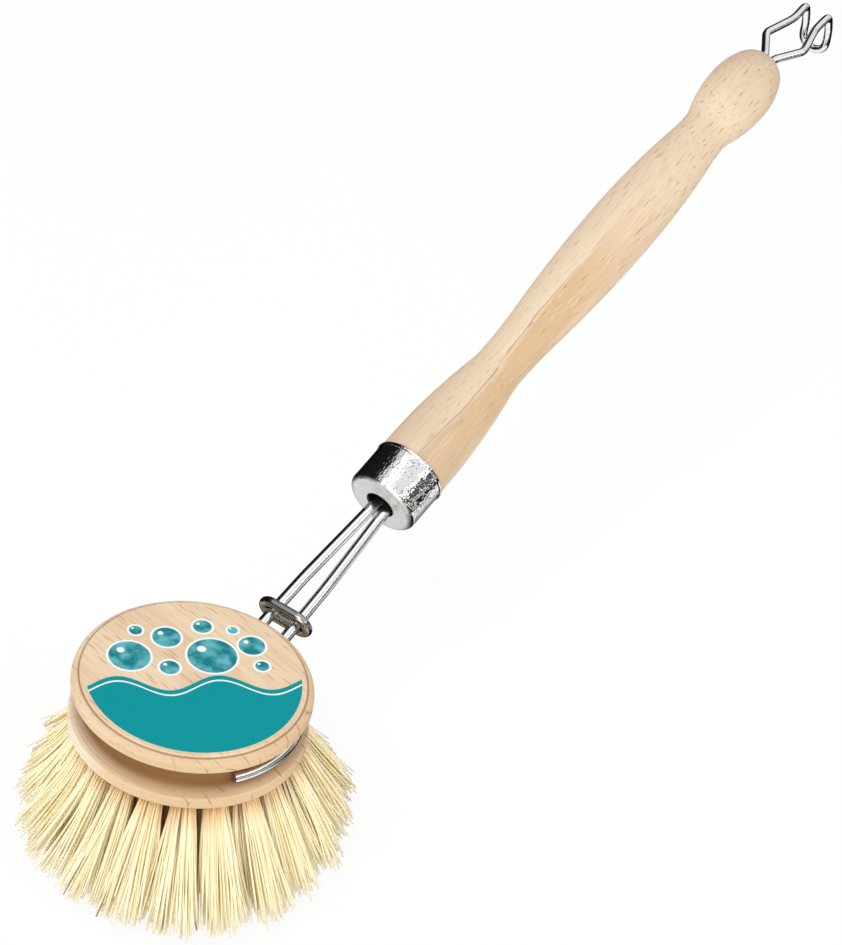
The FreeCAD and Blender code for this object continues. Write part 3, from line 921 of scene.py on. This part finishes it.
@dataclass(frozen=True)
class WireFork:
    """Sprung fork of two arms and a closed end, and the duller ring that slides on it."""

    neck_axes: Axes = Axes((22.597, 0.0, -7.4), (0.949802, 0.0, 0.312850), (0.0, 1.0, 0.0))
    ring_axes: Axes = Axes((32.285, 0.0, -4.209), (0.0, 1.0, 0.0), (0.949802, 0.0, 0.312850))
    ring_colour: Colour = (0.44, 0.44, 0.44)
    ring_dull: Colour = (0.34, 0.34, 0.34)
    ring_roughness: float = 0.20

    def dress(self) -> None:
        """Give the fork and the ring their steels."""
        wire = ForkSteel("fork steel", self.neck_axes)
        ring = DrawnSteel("ring steel", self.ring_axes, self.ring_colour, self.ring_dull,
                          roughness=self.ring_roughness)
        dress_solids(wire.material(), Solid.LEFT_ARM, Solid.RIGHT_ARM, Solid.LOOP)
        dress_solids(ring.material(), Solid.LOCK_RING)


@dataclass(frozen=True)
class Handle:
    """Turned handle with its ferrule and hook."""

    axes: Axes = HANDLE_AXES
    band: float = 15.0
    band_shift: float = 0.62

    def dress(self) -> None:
        """Give the handle its wood, the ferrule its plate and the hook its steel."""
        wood = Beech("handle beech", self.axes, self.band, self.band_shift)
        dress_solids(wood.material(), Solid.HANDLE)
        dress_solids(Galvanised("galvanised cap", self.axes).material(), Solid.FERRULE)
        dress_solids(DrawnSteel("hook steel", self.axes).material(), Solid.HOOK)


@dataclass(frozen=True)
class Fixings:
    """Cross pin and tuft anchors, which the wood and the ferrule hide."""

    axes: Axes = HANDLE_AXES
    colour: Colour = (0.48, 0.48, 0.47)
    dull: Colour = (0.38, 0.38, 0.37)

    def dress(self) -> None:
        """Give the fixings one plain steel."""
        steel = DrawnSteel("pin steel", self.axes, self.colour, self.dull)
        dress_solids(steel.material(), Solid.PIN, Solid.ANCHORS)


@dataclass(frozen=True)
class TuftRing:
    """One ring of tufts: how many, how far from the head's axis, how far they lean out, and their fibres."""

    name: Ring
    count: int
    radius: float
    lean: float
    fibres: int


@dataclass(frozen=True)
class TuftLean:
    """One outer tuft that stands out of line: its number and how far out its tips are, in millimetres."""

    number: int
    outward: float


@dataclass(frozen=True)
class Tuft:
    """One tuft: the node it replaces, its frame, how its tips drift and its middle sags, and its fibres."""

    node: str
    axes: Axes
    drift: np.ndarray
    sag: np.ndarray
    fibres: int
    behind: int


@dataclass(frozen=True)
class BristleHead:
    """Fibre tufts of the head, each a bundle of separate tapered fibres in place of its solid."""

    finish: PlantFibre = PlantFibre()
    mouth_level: float = -13.4
    bury: float = 1.2
    length: float = 28.6
    length_mean: float = 0.975
    length_jitter: float = 0.055
    length_least: float = 0.78
    length_most: float = 1.04
    edge_cut: float = 0.035
    splay: float = -1.2
    side_splay: float = 2.85
    side_bearing: float = 290.0
    oval_splay: float = 1.1
    oval_bearing: float = 265.0
    flare: float = 2.4
    flare_bearing: float = 112.0
    uneven: tuple[TuftLean, ...] = (
        TuftLean(6, 2.5),
        TuftLean(7, 1.1),
        TuftLean(9, 0.5),
        TuftLean(12, 0.5),
        TuftLean(13, 1.0),
        TuftLean(14, 0.6),
        TuftLean(16, -2.3),
        TuftLean(17, -2.2),
        TuftLean(18, -2.0),
    )
    root_radius: float = 1.98
    root_jitter: float = 0.10
    tip_radius: float = 5.9
    tip_jitter: float = 0.50
    spread_power: float = 1.12
    stray_share: float = 0.08
    stray_jitter: float = 1.7
    fibre_root: float = 0.215
    fibre_tip: float = 0.16
    width_jitter: float = 0.16
    clumps: int = 8
    clump_reach: float = 0.8
    gather: float = 0.34
    clump_bow: float = 0.40
    fibre_bow: float = 0.25
    own_share: float = 0.998
    own_least: float = 0.001
    sides: int = 5
    steps: int = 7
    seed: int = 41
    rings: tuple[TuftRing, ...] = (
        TuftRing(Ring.OUTER, 20, 20.0, 27.5, 190),
        TuftRing(Ring.MIDDLE, 13, 13.3, 18.0, 115),
        TuftRing(Ring.INNER, 6, 6.7, 9.0, 80),
        TuftRing(Ring.CENTRE, 1, 0.0, 0.0, 80),
    )

    def centre_lines(self, count: int, random: np.random.Generator) -> np.ndarray:
        """Work out the middle lines of one tuft's fibres in the tuft's own frame.

        Roots fill a disc in a sunflower spiral. Each fibre runs out to the same place on a wider disc, drawn
        towards the middle of its clump, with a small bow, its own length and, for a few strays, a wider
        swing.

        Args:
            count: Number of fibres.
            random: Source of the fibres' differences.

        Returns:
            Points as fibres by steps by three, with Z along the tuft.
        """
        order = np.arange(count) + 0.5
        share = np.sqrt(order / count)
        bearing = order * math.pi * GOLDEN_SHARE
        place = np.stack([np.cos(bearing), np.sin(bearing)], axis=1) * share[:, None]
        middles = random.uniform(-self.clump_reach, self.clump_reach, (self.clumps, 2))
        clump = np.argmin(np.linalg.norm(place[:, None, :] - middles[None, :, :], axis=2), axis=1)
        gathered = place + (middles[clump] - place) * self.gather
        root = place * self.root_radius + random.normal(0.0, self.root_jitter, (count, 2))
        tip = gathered * self.tip_radius + random.normal(0.0, self.tip_jitter, (count, 2))
        strays = random.random(count) < self.stray_share
        tip += strays[:, None] * random.normal(0.0, self.stray_jitter, (count, 2))
        bow = random.normal(0.0, self.clump_bow, (self.clumps, 2))[clump]
        bow = bow + random.normal(0.0, self.fibre_bow, (count, 2))
        drawn = random.normal(self.length_mean, self.length_jitter, count)
        length = self.length * np.clip(drawn, self.length_least, self.length_most)
        length = length * (1.0 - self.edge_cut * share ** 2)
        travel = np.linspace(0.0, 1.0, self.steps)
        spread = (travel ** self.spread_power)[None, :, None]
        bend = np.sin(math.pi * travel)[None, :, None]
        sideways = root[:, None, :] * (1.0 - spread) + tip[:, None, :] * spread + bow[:, None, :] * bend
        ahead = -self.bury + (length[:, None] + self.bury) * travel[None, :]
        return np.concatenate([sideways, ahead[:, :, None]], axis=2)

    def bundle(self, tuft: Tuft, random: np.random.Generator) -> bpy.types.Object:
        """Make one tuft: a small ring of points round every step of every middle line, closed at the ends.

        The tips lean a little to one side, by the drift times the square of the way along. The middle sags
        in by half a sine wave, so that the tips flare.

        Args:
            tuft: The tuft.
            random: Source of the fibres' differences.

        Returns:
            The tuft's piece, with each fibre's own number in U and the way along it in V.
        """
        count = tuft.fibres
        lines = self.centre_lines(count, random)
        width = random.normal(1.0, self.width_jitter, count)[:, None]
        thick = width * np.linspace(self.fibre_root, self.fibre_tip, self.steps)
        turn = random.random(count)[:, None] * TURN + np.arange(self.sides) * TURN / self.sides
        rim = np.stack([np.cos(turn), np.sin(turn), np.zeros_like(turn)], axis=2)
        points = lines[:, :, None, :] + thick[:, :, None, None] * rim[:, None, :, :]
        numbers = np.arange(count * self.steps * self.sides).reshape(count, self.steps, self.sides)
        low, high = numbers[:, :-1, :], numbers[:, 1:, :]
        walls = np.stack([low, np.roll(low, -1, 2), np.roll(high, -1, 2), high], axis=3).reshape(-1, 4)
        faces = walls.tolist() + numbers[:, 0, ::-1].tolist() + numbers[:, -1, :].tolist()
        own = random.random(count)[:, None, None] * self.own_share + self.own_least + tuft.behind
        own = np.broadcast_to(own, numbers.shape).ravel()
        along = np.linspace(0.0, 1.0, self.steps)[None, :, None]
        along = np.broadcast_to(along, numbers.shape).ravel()
        swept = tuft.axes.to_part(points.reshape(-1, 3)) + np.outer(along ** 2, tuft.drift)
        swept += np.outer(np.sin(math.pi * along), tuft.sag)
        return mesh_piece(tuft.node + "_fibres", swept, faces, np.stack([own, along], axis=1))

    def spread(self, bearing: float) -> float:
        """Work out how far a tuft's tips stand out: a steady part, one wave and two waves round the head.

        Args:
            bearing: Where the tuft stands round the head, in radians.

        Returns:
            Millimetres outward, for a tuft of the outer ring.
        """
        side = self.side_splay * math.cos(bearing - math.radians(self.side_bearing))
        oval = self.oval_splay * math.cos(2.0 * (bearing - math.radians(self.oval_bearing)))
        return self.splay + side - oval

    def plan(self, ring: TuftRing, index: int) -> Tuft:
        """Work out where a tuft stands: on its ring at an even share of a turn, leaning out from the axis.

        Tips of the inner rings stand out less, by their radius. Only outer tufts are out of line or flare.

        Args:
            ring: The tuft's ring.
            index: Its place in the ring, from nought.

        Returns:
            The tuft.
        """
        name = f"tuft_{ring.name.value}"
        node = f"{name}_{index + 1:02d}" if ring.count > 1 else name
        bearing = TURN * index / ring.count
        lean = math.radians(ring.lean)
        outward = np.array([math.cos(bearing), math.sin(bearing), 0.0])
        mouth = outward * ring.radius + np.array([0.0, 0.0, self.mouth_level])
        along = outward * math.sin(lean) - np.array([0.0, 0.0, math.cos(lean)])
        axes = Axes(tuple(mouth), tuple(along), (-math.sin(bearing), math.cos(bearing), 0.0))
        in_front = int(ring.name is Ring.OUTER)
        out_of_line = sum(tuft.outward for tuft in self.uneven if tuft.number == index + 1)
        stand_out = self.spread(bearing) + out_of_line * in_front
        drift = outward * stand_out * ring.radius / self.rings[0].radius
        flare = self.flare * max(0.0, math.cos(bearing - math.radians(self.flare_bearing)))
        return Tuft(node, axes, drift, -outward * flare * in_front, ring.fibres, 1 - in_front)

    def build(self) -> list[bpy.types.Object]:
        """Build every tuft, ring by ring, in place of its solid.

        Returns:
            The tufts' pieces.
        """
        random = np.random.default_rng(self.seed)
        material = self.finish.material()
        pieces = []
        for ring in self.rings:
            for index in range(ring.count):
                tuft = self.plan(ring, index)
                piece = self.bundle(tuft, random)
                piece.data.materials.append(material)
                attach(piece, HEAD_BODY)
                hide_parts(tuft.node)
                pieces.append(piece)
        return pieces


@dataclass(frozen=True)
class Softbox:
    """One soft lamp: where it hangs, what it points at, its size and power, and whether metal mirrors it."""

    name: str
    place: Point
    target: Point
    width: float
    height: float
    power: float
    mirrored: bool = True


@dataclass(frozen=True)
class Card:
    """One card that is seen only in mirrors: its four corners in order, and how light it is."""

    name: str
    corners: tuple[Point, Point, Point, Point]
    tone: float = 0.01


@dataclass(frozen=True)
class Studio:
    """Camera, floor, soft lamps and cards of a plain pale studio."""

    eye: Point = (-770.616, -486.347, 819.717)
    forward: Point = (0.66748191, 0.38233375, -0.63897481)
    right: Point = (0.57990786, -0.80519160, 0.12398936)
    focal_pixels: float = 6000.0
    sensor: float = 36.0
    clip_start: float = 50.0
    clip_end: float = 50000.0
    floor_half: float = 6000.0
    floor_gap: float = 0.2
    floor_colour: Colour = (0.93, 0.93, 0.93)
    floor_glow: float = 0.90
    bounces: int = 16
    sky: float = 0.76
    lamps: tuple[Softbox, ...] = (
        Softbox("key", (-560.0, -80.0, 980.0), (40.0, 0.0, 0.0), 420.0, 420.0, 4.3),
        Softbox("top", (200.0, -20.0, 1150.0), (80.0, 0.0, 0.0), 360.0, 360.0, 0.3),
        Softbox("front", (-1100.0, -300.0, 380.0), ORIGIN, 700.0, 500.0, 3.4),
        Softbox("right", (60.0, -1000.0, 420.0), (60.0, 0.0, 0.0), 700.0, 500.0, 3.6),
        Softbox("left", (-400.0, 950.0, 300.0), ORIGIN, 700.0, 500.0, 2.6, mirrored=False),
    )
    cards: tuple[Card, ...] = (
        Card("left", ((-900.0, 420.0, -42.0), (1000.0, 420.0, -42.0), (1000.0, 420.0, 640.0),
                      (-900.0, 420.0, 640.0))),
        Card("front left", ((-900.0, 120.0, -42.0), (-900.0, 420.0, -42.0), (-900.0, 420.0, 640.0),
                            (-900.0, 120.0, 640.0))),
        Card("low left", ((-100.0, 70.0, -41.0), (1000.0, 70.0, -41.0), (1000.0, 420.0, -41.0),
                          (-100.0, 420.0, -41.0))),
        Card("high left", ((-900.0, 420.0, 640.0), (1000.0, 420.0, 640.0), (1000.0, 420.0, 900.0),
                           (-900.0, 420.0, 900.0)), 0.30),
        Card("right", ((-300.0, -460.0, 25.0), (1000.0, -460.0, 25.0), (1000.0, -460.0, 270.0),
                       (-300.0, -460.0, 270.0)), 0.07),
        Card("low right", ((-250.0, -108.0, -41.0), (300.0, -108.0, -41.0), (300.0, -440.0, -41.0),
                           (-250.0, -440.0, -41.0))),
        Card("low fork", ((40.0, -5.0, -41.0), (97.0, -5.0, -41.0), (76.0, -100.0, -41.0),
                          (20.0, -100.0, -41.0))),
        Card("low hook", ((225.0, -5.0, -40.5), (1000.0, -5.0, -40.5), (1000.0, -460.0, -40.5),
                          (225.0, -460.0, -40.5))),
    )

    def camera(self) -> None:
        """Place the camera at the fitted eye, with the fitted focal length."""
        data = bpy.data.cameras.new("camera")
        data.sensor_width = self.sensor
        data.lens = self.focal_pixels * self.sensor / max(IMAGE_SIZE)
        data.clip_start = self.clip_start * MM
        data.clip_end = self.clip_end * MM
        camera = bpy.data.objects.new("camera", data)
        back, right = -unit(self.forward), unit(self.right)
        turn = np.stack([right, np.cross(back, right), back], axis=1)
        camera.matrix_world = Matrix.Translation(Vector(self.eye) * MM) @ Matrix(turn.tolist()).to_4x4()
        bpy.context.scene.collection.objects.link(camera)
        bpy.context.scene.camera = camera

    def floor(self) -> None:
        """Lay the pale floor under the fibres' tips, near white to the camera and in mirrors."""
        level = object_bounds()[0].z / MM - self.floor_gap
        corner = np.array([[-1.0, -1.0], [1.0, -1.0], [1.0, 1.0], [-1.0, 1.0]]) * self.floor_half
        points = np.concatenate([corner, np.full((len(corner), 1), level)], axis=1)
        piece = mesh_piece("floor", points, QUAD)
        material = bpy.data.materials.new("pale floor")
        nodes = Nodes(material)
        matt = nodes.node("BsdfDiffuse", {"Color": self.floor_colour})
        glow = nodes.node("Emission", {})
        share = nodes.math("MULTIPLY", nodes.seen_rays(), self.floor_glow)
        blend = nodes.node("MixShader", {0: share, 1: matt.outputs[0], 2: glow.outputs[0]})
        nodes.node("OutputMaterial", {0: blend.outputs[0]})
        piece.data.materials.append(material)
        piece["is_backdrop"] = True

    def world(self) -> None:
        """Fill the studio with even light, lighter where it is seen."""
        world = bpy.data.worlds.new("studio")
        nodes = Nodes(world)
        inputs = {0: nodes.seen_rays(), "To Min": self.sky, "To Max": 1.0}
        strength = nodes.node("MapRange", inputs).outputs[0]
        background = nodes.node("Background", {"Strength": strength})
        nodes.node("OutputWorld", {0: background.outputs[0]})
        bpy.context.scene.world = world

    def light(self) -> None:
        """Hang the soft lamps."""
        for box in self.lamps:
            data = bpy.data.lights.new(box.name, "AREA")
            data.shape = "RECTANGLE"
            data.size, data.size_y = box.width * MM, box.height * MM
            data.energy = box.power
            lamp = bpy.data.objects.new(box.name, data)
            lamp.visible_glossy = box.mirrored
            place, target = Vector(box.place) * MM, Vector(box.target) * MM
            turn = (target - place).to_track_quat("-Z", "Y").to_matrix().to_4x4()
            lamp.matrix_world = Matrix.Translation(place) @ turn
            bpy.context.scene.collection.objects.link(lamp)

    def flags(self) -> None:
        """Stand the cards where polished metal mirrors them. They throw no shadow and aren't seen."""
        for card in self.cards:
            material = bpy.data.materials.new(card.name + " card")
            nodes = Nodes(material)
            glow = nodes.node("Emission", {"Strength": card.tone})
            nodes.node("OutputMaterial", {0: glow.outputs[0]})
            name = card.name.replace(" ", "_") + "_card"
            piece = mesh_piece(name, np.array(card.corners), QUAD)
            piece.data.materials.append(material)
            piece.visible_camera = piece.visible_diffuse = piece.visible_shadow = False
            piece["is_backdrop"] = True

    def build(self) -> None:
        """Set up the whole studio."""
        self.camera()
        self.world()
        self.light()
        self.floor()
        self.flags()
        bpy.context.scene.view_settings.view_transform = "Standard"
        bpy.context.scene.cycles.max_bounces = self.bounces
        bpy.context.scene.cycles.diffuse_bounces = self.bounces


def main() -> None:
    """Build the brush's looks and the studio."""
    logging.basicConfig(level=logging.INFO, format="%(name)s: %(message)s")
    for assembly in (WoodenHead(), WireFork(), Handle(), Fixings()):
        assembly.dress()
    for piece in BristleHead().build():
        LOG.info("%s: %d faces", piece.name, len(piece.data.polygons))
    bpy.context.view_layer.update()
    Studio().build()


if __name__ == "__main__":
    main()
